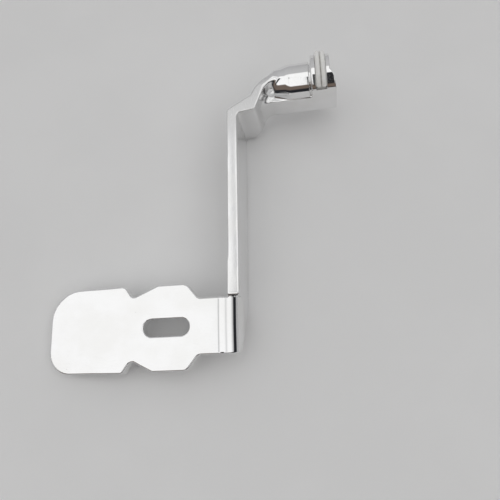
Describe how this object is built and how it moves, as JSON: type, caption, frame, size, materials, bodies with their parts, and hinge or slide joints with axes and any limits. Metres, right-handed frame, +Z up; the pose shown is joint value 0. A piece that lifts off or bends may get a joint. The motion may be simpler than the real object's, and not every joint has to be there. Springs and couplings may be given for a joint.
{
  "type": "brake pedal",
  "caption": "Chromed foot brake pedal: a flat pad plate with a stud slot, a deep arm on edge, a double bend and a pivot hub with a ribbed ring.",
  "frame": {"origin": "on the pivot axis, 28 mm inboard of the washer seat", "axes": "+X inboard along the pivot axis, +Y to the rear, +Z up, with the pad's top level"},
  "size_m": [0.2711, 0.2974, 0.0681],
  "materials": {
    "chromed_steel": "bright chrome plate, satin on the double bend",
    "bush_bronze": "turned bronze",
    "seal_rubber": "matt black",
    "ring_nylon": "smooth off-white"
  },
  "bodies": {
    "root": {"pedal_arm": "chromed_steel", "outboard_bush": "bush_bronze", "inboard_bush": "bush_bronze", "outboard_seal": "seal_rubber", "inboard_seal": "seal_rubber", "nylon_ring": "ring_nylon"}
  },
  "joints": []
}
